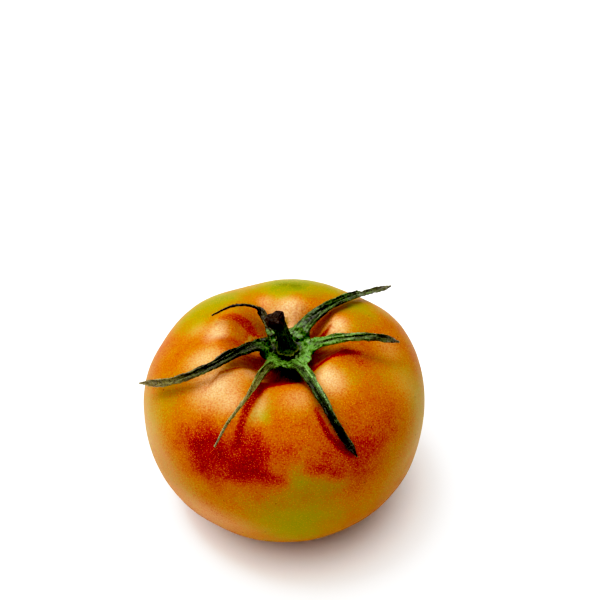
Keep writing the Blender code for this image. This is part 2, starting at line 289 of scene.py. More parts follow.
# Sepals. Each station of a path is an angle down, an azimuth and a clearance over the fruit in mm.
# Widths in mm are at the root, at the waist, half way and near the tip. Fold and twist are in degrees.
# At SEPAL_STATIONS along the sepal, dryness runs from 0 fresh to 1 black and crisp, bloom is the pale
# down of fine hairs, and straw is how far it has turned straw brown. Shaded is the half of the fold that
# is given painted shade, drawn darker as extra dryness: -1 or 1, or 0 where both are alike.
SEPALS = {
    "far_right": {
        "path": (
            (11, 60, -3.7), (17, 56, -1.0), (27, 47, 1.3),
            (43, 46, 1.4), (60, 47, 2.2), (71, 47, 7.0),
        ),
        "widths": (4.8, 3.9, 3.0, 1.7),
        "fold": 46,
        "twist": (0, 12),
        "dryness": (0.40, 0.44, 0.50, 0.55, 0.74),
        "bloom": (0.2, 0.3, 0.3, 0.3, 0.3),
        "straw": (0.0, 0.0, 0.0, 0.2, 0.4),
        "shaded": 0,
    },
    "right": {
        "path": (
            (11, 0, -3.7), (17, 0, -1.4), (24, -6, 1.8),
            (31, -8, 5.2), (39, -5, 6.7), (50, 1, 4.8),
        ),
        "widths": (5.0, 3.9, 2.6, 1.3),
        "fold": 34,
        "twist": (0, -10),
        "dryness": (0.10, 0.18, 0.30, 0.55, 1.00),
        "bloom": (0.7, 0.6, 0.5, 0.3, 0.0),
        "straw": (0.0, 0.0, 0.1, 0.1, 0.4),
        "shaded": 0,
    },
    "near_right": {
        "path": (
            (11, 292, -3.7), (17, 291, -1.6), (25, 292, 0.9),
            (40, 294, 2.5), (55, 296.5, 2.0), (68, 301, 0.9),
        ),
        "widths": (4.8, 3.4, 2.9, 1.7),
        "fold": 42,
        "twist": (0, -8),
        "dryness": (0.05, 0.12, 0.30, 0.85, 1.00),
        "bloom": (0.6, 0.9, 0.8, 0.2, 0.0),
        "straw": (0.0, 0.0, 0.0, 0.0, 0.1),
        "shaded": 1,
    },
    "near_left": {
        "path": (
            (11, 240, -3.7), (17, 239, -1.9), (26, 241, 0.9),
            (40, 245, 5.6), (51, 242, 6.4), (64, 237.5, 1.2),
        ),
        "widths": (4.2, 2.0, 1.1, 0.8),
        "fold": 30,
        "twist": (0, 50),
        "dryness": (0.10, 0.30, 0.25, 0.25, 0.40),
        "bloom": (0.3, 0.3, 0.3, 0.4, 0.5),
        "straw": (0.0, 0.3, 0.8, 0.9, 0.8),
        "shaded": 0,
    },
    "left": {
        "path": (
            (11, 190, -3.7), (17, 191, -1.8), (25, 205, 1.0),
            (40, 209.5, 3.6), (55, 201, 3.3), (67.5, 190, 4.0),
        ),
        "widths": (5.0, 3.8, 2.6, 1.4),
        "fold": 44,
        "twist": (0, 10),
        "dryness": (0.50, 0.82, 0.82, 0.58, 0.50),
        "bloom": (0.1, 0.2, 0.25, 0.2, 0.2),
        "straw": (0.0, 0.0, 0.1, 0.6, 0.9),
        "shaded": 0,
    },
    "far_left": {
        "path": (
            (11, 128, -3.7), (17, 126, -1.8), (27, 124, 0.9),
            (26, 138, 3.3), (31, 149, 3.9), (39, 158, 3.2),
        ),
        "widths": (4.2, 2.2, 1.0, 0.7),
        "fold": 30,
        "twist": (0, 60),
        "dryness": (0.45, 0.80, 0.85, 0.90, 1.00),
        "bloom": (0.1, 0.1, 0.0, 0.0, 0.0),
        "straw": (0.1, 0.2, 0.1, 0.0, 0.0),
        "shaded": 0,
    },
}
WIDTH_STATIONS = (0.0, 0.2, 0.5, 0.9)
SEPAL_STATIONS = (0.0, 0.25, 0.5, 0.75, 1.0)
FOLD_START = 0.05
FOLD_FULL = 0.35
FLAT_WIDTH = 1.2 * MM
FOLDED_WIDTH = 2.6 * MM

# Fine form of the calyx: crinkled margins, ribs along each sepal, knobs on the disc
CRINKLE_SIZE = 3.0 * MM
CRINKLE_WIDTH = 0.16
CRINKLE_LIFT = 0.35 * MM
CRINKLE_START = 0.4
CALYX_VOXEL = 0.2 * MM
CALYX_SMOOTHING = 2
CALYX_SOFTNESS = 0.5
RIB_SPACING = 0.8 * MM
RIB_DEPTH = 0.12 * MM
MIDRIB_WIDTH = 0.35 * MM
MIDRIB_DEPTH = 0.16 * MM
GROOVE_WIDTH = 1.6 * MIDRIB_WIDTH
STRAND_SHIFT = 10 * MM
# Painted shade on one half of a folded sepal: how it rises across that half, and how much darker it draws
# it
DARK_HALF_EDGE = (0.0, 0.3)
DARK_HALF_PAINTED_SHADE = 0.3
KNOB_SIZE = 1.3 * MM
KNOB_DEPTH = 0.50 * MM
GRAIN_SIZE = 0.55 * MM
GRAIN_DEPTH = 0.15 * MM
DISC_EDGE = (5.6 * MM, 8.6 * MM)
# Painted shade in the dish round the stem's foot: where it fades out, and how much darker it draws it
BOWL_EDGE = (2.6 * MM, 4.4 * MM)
BOWL_PAINTED_SHADE = 0.50
SAMPLE_COLUMNS = 9

# Fine pale hairs on the calyx. Real ones are thinner and far more; these are as thick as they need to be
# to show. A hair's middle lies at HAIR_MIDDLE of its length, so that its root is sunk in the leaf.
HAIR_COUNT = 1500
HAIR_LENGTH = (0.35 * MM, 0.8 * MM)
HAIR_RADIUS = 0.028 * MM
HAIR_TIP_RADIUS = 0.2 * HAIR_RADIUS
HAIR_SIDES = 3
HAIR_LEAN = 0.6
HAIR_MIDDLE = 0.4
HAIR_SEED = 11

# Stem. The profile gives each height's share of the rise and its radius as a share of the stem's.
STEM_RADIUS = 1.7 * MM
STEM_RISE = 11.0 * MM
STEM_LEAN = Vector((-3.2 * MM, 0.5 * MM, 0))
STEM_BEND = 0.6
STEM_PROFILE = (
    (0.00, 1.50),
    (0.06, 1.50),
    (0.15, 1.20),
    (0.26, 1.02),
    (0.40, 0.95),
    (0.54, 0.96),
    (0.68, 1.02),
    (0.79, 1.12),
    (0.88, 1.22),
    (0.95, 1.15),
    (1.00, 0.92),
)
STEM_SIDES = 120
STEM_RINGS = 150
STEM_BASE_RINGS = 0.06
STEM_BREAK_RINGS = 0.86
STEM_RIBS = 5
STEM_RIB_DEPTH = 0.12 * MM
STEM_LINE_COUNT = 19
STEM_LINE_DEPTH = 0.05 * MM
STEM_LINE_TWIST = 3
KNUCKLE = (0.72, 0.88)
KNUCKLE_BUMPS = 3
KNUCKLE_TWIST = 6
KNUCKLE_BUMP_DEPTH = 0.25 * MM
KNUCKLE_KNOB_SIZE = 1.0 * MM
KNUCKLE_KNOB_DEPTH = 0.30 * MM
BREAK_SLANT = 0.8 * MM
FOOT_RING = (0.045, 0.03)
FOOT_RING_HEIGHT = 0.14 * MM

# Camera: the photograph's viewing angle, in the same frame
CAMERA_PLACE = Vector((3.74 * MM, -234.31 * MM, 299.97 * MM))
CAMERA_TILT = 45
CAMERA_LENS = 85.02
CAMERA_SENSOR = 36
CAMERA_NEAREST = 10 * MM

# Light
LAMP_PLACE = Vector((-0.50, 0.15, 1.93))
LAMP_SIZE = 0.6
LAMP_POWER = 13
WALL_BRIGHTNESS = 0.22
CEILING_BRIGHTNESS = 2.6
CEILING_WAY = Vector((-0.25, 0.06, 1.0)).normalized()
CEILING_EDGE = (0.50, 0.92)
FLOOR_HALF_SIZE = 3.0
FLOOR_CELLS = 4
FLOOR_DROP = 0.02 * MM

# Contrast of the finished picture, as light in and light out, on the curve that red, green and blue share
SHARED_CURVE = 3
CONTRAST = ((0.06, 0.003), (0.13, 0.06), (0.28, 0.235), (0.50, 0.54), (0.78, 0.88))

FRUIT_MIDDLE = Vector((0, 0, EQUATOR_HEIGHT))
HOLLOW_FLOOR = EQUATOR_HEIGHT + CROWN_HEIGHT - HOLLOW_DEPTH


def eased(start, end, value):
    """0 up to start, 1 from end on, and a smooth rise between them."""
    share = np.clip((value - start) / (end - start), 0, 1)
    return share * share * (3 - 2 * share)


def nearness(azimuth, place, spread):
    """1 at an azimuth, fading to nothing over spread degrees on both sides."""
    apart = (azimuth - place + 180) % 360 - 180
    return np.exp(-((apart / spread) ** 2))


def patch_share(azimuth, down, patch):
    """How much a soft-edged patch of the skin adds at each place."""
    place, height, wide, tall, amount = patch
    return amount * nearness(azimuth, place, wide) * np.exp(-(((down - height) / tall) ** 2))


def unit_ways(azimuth, down):
    """The direction from the fruit's middle at an azimuth and an angle down."""
    turn = np.radians(azimuth)
    slope = np.radians(down)
    return np.stack((np.sin(slope) * np.cos(turn), np.sin(slope) * np.sin(turn), np.cos(slope)), axis=-1)


def leaned(x, y, z):
    """The fruit leans a little, so each height is shifted sideways in proportion."""
    share = z / LEAN_HEIGHT
    return np.stack((x + LEAN_X * share, y + LEAN_Y * share, z), axis=-1)


def furrow_share(azimuth):
    return sum(depth * nearness(azimuth, place, spread) for place, depth, spread in FURROWS)


def dome_radius(azimuth, down):
    """Distance from the fruit's middle to its skin, with lobes and furrows and without the hollow."""
    sine = np.abs(np.sin(np.radians(down)))
    cosine = np.cos(np.radians(down))
    height = np.where(cosine >= 0, CROWN_HEIGHT, BASE_DEPTH)
    rounded = (sine / FRUIT_RADIUS) ** ROUNDNESS + (np.abs(cosine) / height) ** ROUNDNESS
    radius = rounded ** (-1 / ROUNDNESS)
    shallower = 1 - (1 - FURROW_LEFT_AT_EQUATOR) * eased(*FURROW_SHALLOWING, down)
    furrow_reach = eased(*FURROW_RISE, down) * shallower * (1 - eased(*FURROW_FADE, down))
    lobe_reach = eased(*LOBE_RISE, down) * (1 - eased(*LOBE_FADE, down))
    fullness = sum(out * nearness(azimuth, place, LOBE_SPREAD) for place, out, _ in LOBES)
    return radius - FURROW_DEPTH * furrow_share(azimuth) * furrow_reach + fullness * lobe_reach


def lip_radius(azimuth):
    """Plan radius where the hollow's wall reaches the shoulder."""
    own = sum((lip - LIP_RADIUS) * nearness(azimuth, place, LOBE_SPREAD) for place, _, lip in LOBES)
    return LIP_RADIUS + own + FURROW_LIP * furrow_share(azimuth)


def point_over_fruit(down, azimuth, clearance):
    """A point at a clearance in mm outside the dome, measured away from the fruit's middle."""
    radius = dome_radius(azimuth, down) + clearance * MM
    out = radius * math.sin(math.radians(down))
    z = EQUATOR_HEIGHT + radius * math.cos(math.radians(down))
    return Vector(leaned(out * math.cos(math.radians(azimuth)), out * math.sin(math.radians(azimuth)), z))


def grain(points, size, seed=0):
    """Smooth noise from -1 to 1 at each point, with features of about that size."""
    shift = Vector((seed, seed, seed))
    return np.array([noise.noise(Vector(point) / size + shift) for point in points])


def linear(colour):
    """An sRGB colour written as six hex digits, as linear light with full opacity."""
    shades = [int(colour[place:place + 2], 16) / 255 for place in (0, 2, 4)]
    return tuple(s / 12.92 if s <= 0.04045 else ((s + 0.055) / 1.055) ** 2.4 for s in shades) + (1,)


def per_mm(size):
    """A texture's scale for features of that many millimetres."""
    return 1 / (size * MM)


def new_material(name):
    """A node material and its shader."""
    material = bpy.data.materials.new(name)
    material.use_nodes = True
    return material, material.node_tree.nodes["Principled BSDF"]


def add_node(owner, kind, settings=None, inputs=None):
    """Adds a node to a material or a world, with its properties, and a value or a link for each input."""
    node = owner.node_tree.nodes.new(kind)
    for name, value in (settings or {}).items():
        setattr(node, name, value)
    for name, value in (inputs or {}).items():
        if isinstance(value, bpy.types.NodeSocket):
            owner.node_tree.links.new(value, node.inputs[name])
        else:
            node.inputs[name].default_value = value
    return node


def keep_shares(mesh, name, values):
    """Stores one number a vertex, which the materials read by that name."""
    attribute = mesh.attributes.new(name, "FLOAT", "POINT")
    attribute.data.foreach_set("value", np.asarray(values, np.float32))


def new_piece(name, mesh, material):
    """An object of the finished mesh that rides on the fruit's body."""
    piece = bpy.data.objects.new(name, mesh)
    bpy.context.scene.collection.objects.link(piece)
    mesh.materials.append(material)
    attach(piece, "root")
    return piece


def sphere_mesh(name, sides, rings):
    """A sheet wrapped into a unit ball, with each vertex's azimuth and angle down in degrees."""
    shape = bmesh.new()
    bmesh.ops.create_grid(shape, x_segments=sides, y_segments=rings, size=1)
    for vertex in shape.verts:
        turn = math.pi * vertex.co.x
        slope = math.pi * (1 - vertex.co.y) / 2
        sine = math.sin(slope)
        vertex.co = Vector((sine * math.cos(turn), sine * math.sin(turn), math.cos(slope)))
    bmesh.ops.remove_doubles(shape, verts=shape.verts, dist=BALL_WELD)
    mesh = bpy.data.meshes.new(name)
    shape.to_mesh(mesh)
    shape.free()
    unit = vertex_places(mesh)
    azimuth = np.degrees(np.arctan2(unit[:, 1], unit[:, 0])) % 360
    down = np.degrees(np.arccos(np.clip(unit[:, 2], -1, 1)))
    return mesh, azimuth, down


def vertex_places(mesh):
    places = np.zeros(len(mesh.vertices) * 3)
    mesh.vertices.foreach_get("co", places)
    return places.reshape(-1, 3)


def move_vertices(mesh, places):
    mesh.vertices.foreach_set("co", np.asarray(places, np.float32).ravel())
    mesh.update()


def vertex_normals(mesh):
    normals = np.zeros(len(mesh.vertices) * 3)
    mesh.vertices.foreach_get("normal", normals)
    return normals.reshape(-1, 3)


def smooth_path(stations, count):
    """Evenly spaced points on a smooth curve through the stations."""
    ends = [stations[0] * 2 - stations[1], *stations, stations[-1] * 2 - stations[-2]]
    dense = []
    for before, start, end, after in zip(ends, ends[1:], ends[2:], ends[3:]):
        for share in np.linspace(0, 1, PATH_STEPS, endpoint=False):
            leaving = (end - before) * (0.5 * share * (1 - share) ** 2)
            arriving = (after - start) * (0.5 * share * share * (share - 1))
            dense.append(start.lerp(end, eased(0, 1, share)) + leaving + arriving)
    dense.append(stations[-1].copy())
    lengths = np.cumsum([0] + [(b - a).length for a, b in zip(dense, dense[1:])])
    wanted = np.linspace(0, lengths[-1], count)
    axes = [np.interp(wanted, lengths, [point[axis] for point in dense]) for axis in range(3)]
    return [Vector(point) for point in zip(*axes)], lengths[-1]


def half_width(widths, share):
    """Half the blade's width in metres, drawn in to a point past the last station."""
    width = np.interp(share, WIDTH_STATIONS + (1.0,), tuple(w * MM for w in widths) + (SEPAL_POINT_WIDTH,))
    return width / 2


def sepal_rows(sepal):
    """For each row along a sepal: its middle, the ways across and up, half its width and its fold."""
    centres, length = smooth_path([point_over_fruit(*station) for station in sepal["path"]], SEPAL_ROWS + 1)
    rows = []
    for row, centre in enumerate(centres):
        share = row / SEPAL_ROWS
        along = (centres[min(row + 1, SEPAL_ROWS)] - centres[max(row - 1, 0)]).normalized()
        outward = centre - FRUIT_MIDDLE
        outward = (outward - along * outward.dot(along)).normalized()
        sideways = along.cross(outward)
        turn = math.radians(np.interp(share, (0, 1), sepal["twist"]))
        blade_side = sideways * math.cos(turn) + outward * math.sin(turn)
        blade_up = outward * math.cos(turn) - sideways * math.sin(turn)
        reach = half_width(sepal["widths"], share)
        folded = eased(FOLD_START, FOLD_FULL, share) * eased(FLAT_WIDTH / 2, FOLDED_WIDTH / 2, reach)
        rows.append((centre, blade_side, blade_up, reach, math.radians(sepal["fold"]) * folded))
    return rows, length


def place_on_sepal(row, across):
    """The point at a share across one row of a sepal, from -1 to 1."""
    centre, blade_side, blade_up, reach, fold = row
    wave = noise.noise(centre / CRINKLE_SIZE + Vector((across, 0, 0)))
    crisp = eased(CRINKLE_START, 1, abs(across)) * eased(0, FOLDED_WIDTH / 2, reach)
    wide = across * reach * (1 + CRINKLE_WIDTH * wave * crisp)
    lift = abs(wide) * math.sin(fold) + CRINKLE_LIFT * wave * crisp
    return centre + blade_side * (wide * math.cos(fold)) + blade_up * lift


def blade_mesh(name, rows):
    """One sepal as a closed leaf: a sheet moved to its place, with thickness."""
    shape = bmesh.new()
    bmesh.ops.create_grid(shape, x_segments=SEPAL_ROWS, y_segments=SEPAL_COLUMNS, size=1)
    for vertex in shape.verts:
        row = round((vertex.co.x + 1) / 2 * SEPAL_ROWS)
        vertex.co = place_on_sepal(rows[row], vertex.co.y)
    bmesh.ops.recalc_face_normals(shape, faces=shape.faces)
    mesh = bpy.data.meshes.new(name)
    shape.to_mesh(mesh)
    shape.free()
    blade = bpy.data.objects.new(name, mesh)
    bpy.context.scene.collection.objects.link(blade)
    thickness = blade.modifiers.new("thickness", "SOLIDIFY")
    thickness.thickness = SEPAL_THICKNESS
    thickness.offset = 0
    return finished_mesh(blade)


def finished_mesh(target):
    """What an object's modifiers make of its mesh. The object is removed."""
    graph = bpy.context.evaluated_depsgraph_get()
    made = bpy.data.meshes.new_from_object(target.evaluated_get(graph))
    old = target.data
    bpy.data.objects.remove(target, do_unlink=True)
    bpy.data.meshes.remove(old)
    return made


def disc_mesh(centre):
    """The puckered disc that the sepals grow from, dished round the stem's foot."""
    mesh, azimuth, down = sphere_mesh("disc", CALYX_SIDES, CALYX_RINGS)
    out = np.sin(np.radians(down)) ** CALYX_ROUNDNESS
    turn = np.radians(azimuth)
    radius = (CALYX_RADIUS + CALYX_PUCKER * np.cos(CALYX_PUCKERS * turn) * out) * out
    height = CALYX_HALF_THICKNESS * np.cos(np.radians(down)) + CALYX_DISH * eased(CALYX_SEAT_SHARE, 1, out)
    move_vertices(mesh, np.stack((radius * np.cos(turn), radius * np.sin(turn), height), axis=-1) + centre)
    return mesh


def fused(name, meshes):
    """Closed meshes that overlap, made one skin of small even faces and smoothed."""
    shape = bmesh.new()
    for mesh in meshes:
        shape.from_mesh(mesh)
        bpy.data.meshes.remove(mesh)
    joined = bpy.data.meshes.new(name)
    shape.to_mesh(joined)
    shape.free()
    target = bpy.data.objects.new(name, joined)
    bpy.context.scene.collection.objects.link(target)
    remesh = target.modifiers.new("one_skin", "REMESH")
    remesh.mode = "VOXEL"
    remesh.voxel_size = CALYX_VOXEL
    remesh.use_smooth_shade = True
    soften = target.modifiers.new("soften", "SMOOTH")
    soften.factor = CALYX_SOFTNESS
    soften.iterations = CALYX_SMOOTHING
    return finished_mesh(target)


def build_calyx(blades):
    """Disc and sepals as one skin, with ribs, knobs and the measures that its material reads."""
    centre = leaned(0.0, 0.0, HOLLOW_FLOOR + GAP + CALYX_HALF_THICKNESS)
    meshes = [disc_mesh(centre)]
    samples = []
    for number, (name, sepal) in enumerate(SEPALS.items()):
        rows, length = blades[name]
        meshes.append(blade_mesh(name, rows))
        for place, row in enumerate(rows):
            for across in np.linspace(-1, 1, SAMPLE_COLUMNS):
                measures = (number, place / SEPAL_ROWS, across, row[3], length)
                samples.append((place_on_sepal(row, across), measures))
    tree = kdtree.KDTree(len(samples))
    for index, sample in enumerate(samples):
        tree.insert(sample[0], index)
    tree.balance()
    mesh = fused("calyx_leaves", meshes)
    mesh.shade_smooth()
    places = vertex_places(mesh)
    nearest = np.array([samples[tree.find(place)[1]][1] for place in places])
    number, along, across, reach, length = nearest.T
    sepals = list(SEPALS.values())
    own = [sepals[int(which)] for which in number]
    plan = np.hypot(places[:, 0] - centre[0], places[:, 1] - centre[1])
    disc = 1 - eased(*DISC_EDGE, plan)
    bowl = 1 - eased(*BOWL_EDGE, plan)
    offset = across * reach
    ribs = RIB_DEPTH * np.cos(2 * math.pi * offset / RIB_SPACING) * (1 - disc)
    midrib = MIDRIB_DEPTH * np.exp(-((offset / MIDRIB_WIDTH) ** 2)) * (1 - disc)
    knobs = KNOB_DEPTH * grain(places, KNOB_SIZE) * disc
    fine = GRAIN_DEPTH * grain(places, GRAIN_SIZE, GRAIN_SEED)
    move_vertices(mesh, places + vertex_normals(mesh) * (ribs - midrib + knobs + fine)[:, None])
    dryness, bloom, straw = [
        np.array([np.interp(share, SEPAL_STATIONS, sepal[measure]) for sepal, share in zip(own, along)])
        for measure in ("dryness", "bloom", "straw")
    ]
    shaded = np.array([sepal["shaded"] for sepal in own])
    # painted shade: one half of a folded sepal and the dish round the stem's foot are drawn darker, as
    # extra dryness
    painted_shade_half = eased(*DARK_HALF_EDGE, across * shaded) * (shaded != 0)
    dryness += DARK_HALF_PAINTED_SHADE * painted_shade_half + BOWL_PAINTED_SHADE * bowl
    keep_shares(mesh, "dryness", np.clip(dryness, 0, 1))
    keep_shares(mesh, "bloom", bloom * (1 - painted_shade_half))
    keep_shares(mesh, "straw", straw)
    keep_shares(mesh, "disc", disc * (1 - bowl))
    # the groove along the midrib, which the leaf material draws darker as painted shade
    keep_shares(mesh, "groove", np.exp(-((offset / GROOVE_WIDTH) ** 2)) * (1 - disc))
    strand = mesh.attributes.new("strand", "FLOAT_VECTOR", "POINT")
    strand_places = np.stack((along * length, offset, number * STRAND_SHIFT), axis=-1)
    strand.data.foreach_set("vector", np.asarray(strand_places, np.float32).ravel())
    piece = new_piece("calyx_leaves", mesh, make_leaf_material())
    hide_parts("calyx")
    return mesh


def build_hairs(calyx_mesh):
    """Fine pale hairs, short spikes rooted in the calyx."""
    draw = random.Random(HAIR_SEED)
    shape = bmesh.new()
    vertices = calyx_mesh.vertices
    for _ in range(HAIR_COUNT):
        root = vertices[draw.randrange(len(vertices))]
        length = draw.uniform(*HAIR_LENGTH)
        lean = Vector([draw.uniform(-1, 1) for _ in range(3)]) * HAIR_LEAN
        way = (root.normal + lean).normalized()
        turn = way.to_track_quat("Z", "Y").to_matrix().to_4x4()
        middle = root.co + way * (HAIR_MIDDLE * length)
        bmesh.ops.create_cone(
            shape,
            cap_ends=True,
            segments=HAIR_SIDES,
            radius1=HAIR_RADIUS,
            radius2=HAIR_TIP_RADIUS,
            depth=length,
            matrix=Matrix.Translation(middle) @ turn,
        )
    mesh = bpy.data.meshes.new("calyx_hairs")
    shape.to_mesh(mesh)
    shape.free()
    new_piece("calyx_hairs", mesh, make_hair_material())


def stem_middle(share):
    """The middle of the stem at each share of its rise, leaning more towards the top."""
    lean = (1 - STEM_BEND) * share + STEM_BEND * share * share
    return np.asarray(STEM_LEAN) * lean[:, None] + np.array((0, 0, STEM_RISE)) * share[:, None]


def build_stem():
    """A ribbed stub, flared at its foot, ending in a knobbly break."""
    mesh, azimuth, down = sphere_mesh("stem_stub", STEM_SIDES, STEM_RINGS)
    travel = 1 - down / 180
    share = np.clip((travel - STEM_BASE_RINGS) / (STEM_BREAK_RINGS - STEM_BASE_RINGS), 0, 1)
    filled = np.minimum(travel / STEM_BASE_RINGS, (1 - travel) / (1 - STEM_BREAK_RINGS))
    filled = np.clip(filled, 0, 1)
    heights = [height for height, _ in STEM_PROFILE]
    swells = [swell for _, swell in STEM_PROFILE]
    radius = STEM_RADIUS * np.interp(share, heights, swells)
    turn = np.radians(azimuth)
    knuckle = eased(*KNUCKLE, share)
    radius += STEM_RIB_DEPTH * np.cos(STEM_RIBS * turn)
    radius += STEM_LINE_DEPTH * np.cos(STEM_LINE_COUNT * turn + STEM_LINE_TWIST * share) * (1 - knuckle)
    radius += KNUCKLE_BUMP_DEPTH * np.sin(KNUCKLE_BUMPS * turn + KNUCKLE_TWIST * share) * knuckle
    ring_place, ring_width = FOOT_RING
    ring = np.exp(-(((share - ring_place) / ring_width) ** 2))
    radius += FOOT_RING_HEIGHT * ring
    out = radius * filled
    middle = stem_middle(share)
    slant = BREAK_SLANT * np.cos(turn) * out / STEM_RADIUS * knuckle
    sides = np.stack((out * np.cos(turn), out * np.sin(turn), slant), axis=-1)
    places = middle + sides + leaned(0.0, 0.0, HOLLOW_FLOOR + 2 * GAP + 2 * CALYX_HALF_THICKNESS)
    move_vertices(mesh, places)
    rough = KNUCKLE_KNOB_DEPTH * grain(places, KNUCKLE_KNOB_SIZE, KNOB_SEED) * knuckle
    rough += GRAIN_DEPTH * grain(places, GRAIN_SIZE, STEM_GRAIN_SEED)
    move_vertices(mesh, places + vertex_normals(mesh) * rough[:, None])
    mesh.shade_smooth()
    keep_shares(mesh, "knuckle", knuckle)
    keep_shares(mesh, "foot_ring", ring)
    keep_shares(mesh, "break_face", eased(0, 1, (travel - STEM_BREAK_RINGS) / (1 - STEM_BREAK_RINGS)))
    piece = new_piece("stem_stub", mesh, make_stem_material())
    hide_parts("stem")


def belt_share(ways, belt):
    """How strongly a belt shows at each of the directions from the fruit's middle."""
    stations = np.array(belt)
    share = np.zeros(len(ways))
    for step in np.linspace(0, len(belt) - 1, SHADE_STEPS * len(belt)):
        measures = [np.interp(step, range(len(belt)), column) for column in stations.T]
        azimuth, down, width, strength = measures
        away = np.linalg.norm(ways - unit_ways(azimuth, down), axis=1) * FRUIT_RADIUS
        inside = 1 - eased(SHADE_CORE * width * MM, SHADE_EDGE * width * MM, away)
        share = np.maximum(share, strength * inside)
    return share


def paint_skin(mesh, azimuth, down, ways):
    """Keeps how ripe the skin is, with the sepals' painted shade added as deeper red, and the painted
    highlights, left off under that shade.
    """
    shade = np.zeros(len(azimuth))
    upper = np.flatnonzero(down < SHADED_DOWN)
    for belt in SHADE_BELTS:
        shade[upper] = np.maximum(shade[upper], belt_share(ways[upper], belt))
    ball = ways * FRUIT_RADIUS
    ripe = RIPENESS + PATCH_STRENGTH * grain(ball, PATCH_SIZE, PATCH_SEED)
    sideways, downward = [WANDER_DEGREES * grain(ball, WANDER_SIZE, seed) for seed in WANDER_SEEDS]
    ripe += sum(patch_share(azimuth + sideways, down + downward, blush) for blush in BLUSHES)
    # painted highlights on the lobes and painted reflections on the flanks, left off where the painted
    # shade lies
    painted_highlight = sum(patch_share(azimuth, down, patch) for patch in PAINTED_HIGHLIGHTS)
    # the ripeness attribute also carries the sepals' painted shade, as extra red
    keep_shares(mesh, "ripeness_and_painted_shade", ripe + PAINTED_SHADE_REDDENING * shade)
    keep_shares(mesh, "painted_highlight", painted_highlight * (1 - shade))


def build_fruit():
    """The skin, with its lobes, furrows, hollow, creases, corky ring and blossom scar."""
    mesh, azimuth, down = sphere_mesh("fruit_skin", SKIN_SIDES, SKIN_RINGS)
    turn = np.radians(azimuth)
    slope = np.radians(down)
    ways = unit_ways(azimuth, down)
    ball = ways * FRUIT_RADIUS
    relief = DENT_DEPTH * grain(ball, DENT_SIZE)
    relief += RIPPLE_DEPTH * grain(ball, RIPPLE_SIZE, RIPPLE_SEED)
    radius = dome_radius(azimuth, down) + relief
    out = radius * np.sin(slope)
    z = EQUATOR_HEIGHT + radius * np.cos(slope)
    upper = down < 90
    lip = lip_radius(azimuth)
    z -= upper * HOLLOW_DEPTH * (1 - eased(HOLLOW_FLOOR_RADIUS, lip + HOLLOW_ROUNDING, out))
    wander = CREASE_WANDER * grain(ball, DENT_SIZE, CREASE_SEED)
    crease = np.cos(CREASE_COUNT * turn + wander) ** CREASE_SHARPNESS
    z -= upper * CREASE_DEPTH * crease * (1 - eased(*CREASE_REACH, out))
    inner_start, inner_full, outer_full, outer_end = CORK_RING
    cork = upper * eased(inner_start, inner_full, out) * (1 - eased(outer_full, outer_end, out))
    cork *= np.clip(sum(nearness(azimuth, *patch) for patch in CORK_PATCHES), 0, 1)
    # painted shade deep in the hollow, on its front side
    hollow = upper * (1 - eased(*HOLLOW_PAINTED_SHADE, out / lip))
    hollow *= nearness(azimuth, *HOLLOW_PAINTED_SHADE_SIDE)
    places = leaned(out * np.cos(turn), out * np.sin(turn), z)
    cracks = grain(places, CORK_CRACK_SIZE, CRACK_SEED)
    places[:, 2] += CORK_CRACK_DEPTH * cork * cracks
    places[:, 2] = np.maximum(places[:, 2], 0)
    from_scar = np.where(upper, 1, out)
    scar = 1 - eased(0, SCAR_RADIUS, from_scar)
    places[:, 2] += SCAR_DEPTH * scar
    move_vertices(mesh, places)
    mesh.shade_smooth()
    paint_skin(mesh, azimuth, down, ways)
    keep_shares(mesh, "cork", cork)
    keep_shares(mesh, "hollow", hollow)
    keep_shares(mesh, "scar", scar)
    piece = new_piece("fruit_skin", mesh, make_skin_material())
    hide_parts("fruit")


